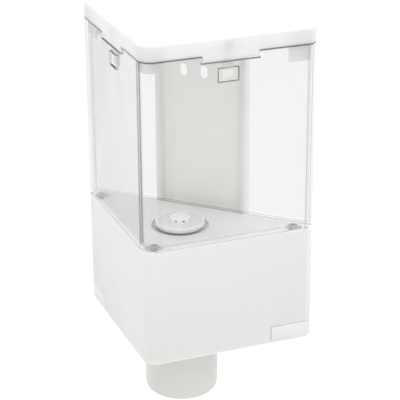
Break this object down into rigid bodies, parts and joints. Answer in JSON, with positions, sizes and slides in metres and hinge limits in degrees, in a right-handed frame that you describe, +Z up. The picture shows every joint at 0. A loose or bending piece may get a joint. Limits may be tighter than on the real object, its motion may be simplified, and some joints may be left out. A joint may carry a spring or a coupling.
{
  "type": "wall mounted soap dispenser",
  "caption": "Refillable wall soap dispenser: clear corner-shaped tank with lift-off lid, white base and a round button pushed up from below to pump soap.",
  "frame": {"origin": "on the wall plane, at the centre of the middle pair of bracket screw slots", "axes": "+Z up, +Y into the wall, +X to the right for a user who faces the dispenser"},
  "size_m": [0.164, 0.0944, 0.262],
  "materials": {
    "clear_plastic": "clear polished moulding",
    "lid_plastic": "satin white",
    "base_plastic": "satin white",
    "foot_plastic": "satin white",
    "bracket_plastic": "fine matt white",
    "button_plastic": "satin white",
    "pump_plastic": "natural white moulding",
    "screw_steel": "stainless",
    "spring_steel": "drawn stainless wire",
    "ball_steel": "polished",
    "seal_rubber": "matt"
  },
  "bodies": {
    "body": {"wall_bracket": "bracket_plastic", "left_foot": "foot_plastic", "right_foot": "foot_plastic", "base_housing": "base_plastic", "bottom_cover": "base_plastic", "cover_screws": "screw_steel", "tank": "clear_plastic", "tank_screws": "screw_steel", "screw_seals": "seal_rubber", "floor_gasket": "seal_rubber", "pump_cylinder": "pump_plastic", "pump_ring": "button_plastic", "lock_nut": "pump_plastic", "inlet_cage": "pump_plastic", "inlet_strainer": "button_plastic", "cylinder_cap": "pump_plastic", "wiper_seal": "seal_rubber"},
    "lid": {"lid": "lid_plastic"},
    "button": {"push_button": "button_plastic", "button_core": "pump_plastic", "core_screws": "screw_steel", "nozzle": "pump_plastic", "piston_rod": "pump_plastic", "piston_head": "pump_plastic", "piston_seal": "seal_rubber", "outlet_spring": "spring_steel", "return_spring": "spring_steel"},
    "inlet_ball": {"inlet_ball": "ball_steel"},
    "outlet_ball": {"outlet_ball": "ball_steel"}
  },
  "joints": [
    {"name": "lid_lift", "type": "slide", "parent": "body", "child": "lid", "axis": [0, 0, 1], "range_m": [0, 0.04]},
    {"name": "button_push", "type": "slide", "parent": "body", "child": "button", "axis": [0, 0, 1], "range_m": [0, 0.016], "stiffness_N_per_m": 400, "springref_m": -0.012, "deforming": ["return_spring"]},
    {"name": "inlet_ball_lift", "type": "slide", "parent": "body", "child": "inlet_ball", "axis": [0, 0, 1], "range_m": [0, 0.0023]},
    {"name": "outlet_ball_drop", "type": "slide", "parent": "button", "child": "outlet_ball", "axis": [0, 0, -1], "range_m": [0, 0.0015], "stiffness_N_per_m": 60, "springref_m": -0.002, "deforming": ["outlet_spring"]}
  ]
}
